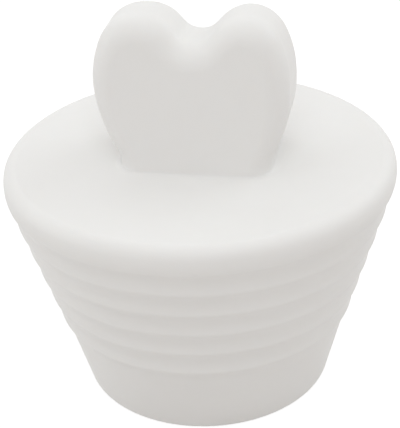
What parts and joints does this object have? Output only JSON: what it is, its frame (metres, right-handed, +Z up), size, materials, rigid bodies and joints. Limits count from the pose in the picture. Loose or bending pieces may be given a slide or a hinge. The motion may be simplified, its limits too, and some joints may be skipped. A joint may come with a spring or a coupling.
{
  "type": "bath plug",
  "caption": "Tapered round silicone stopper for a bath or basin waste, with shallow grooves round its side and a heart-shaped grip on top.",
  "frame": {"origin": "centre of the flat bottom face, on the axis of the taper", "axes": "+Z up along the axis of the taper, X along the width of the heart grip, Y through its thickness with the front face towards -Y"},
  "size_m": [0.0486, 0.0486, 0.0495],
  "materials": {
    "white_silicone": "satin moulded"
  },
  "bodies": {
    "root": {"plug": "white_silicone"}
  },
  "joints": []
}
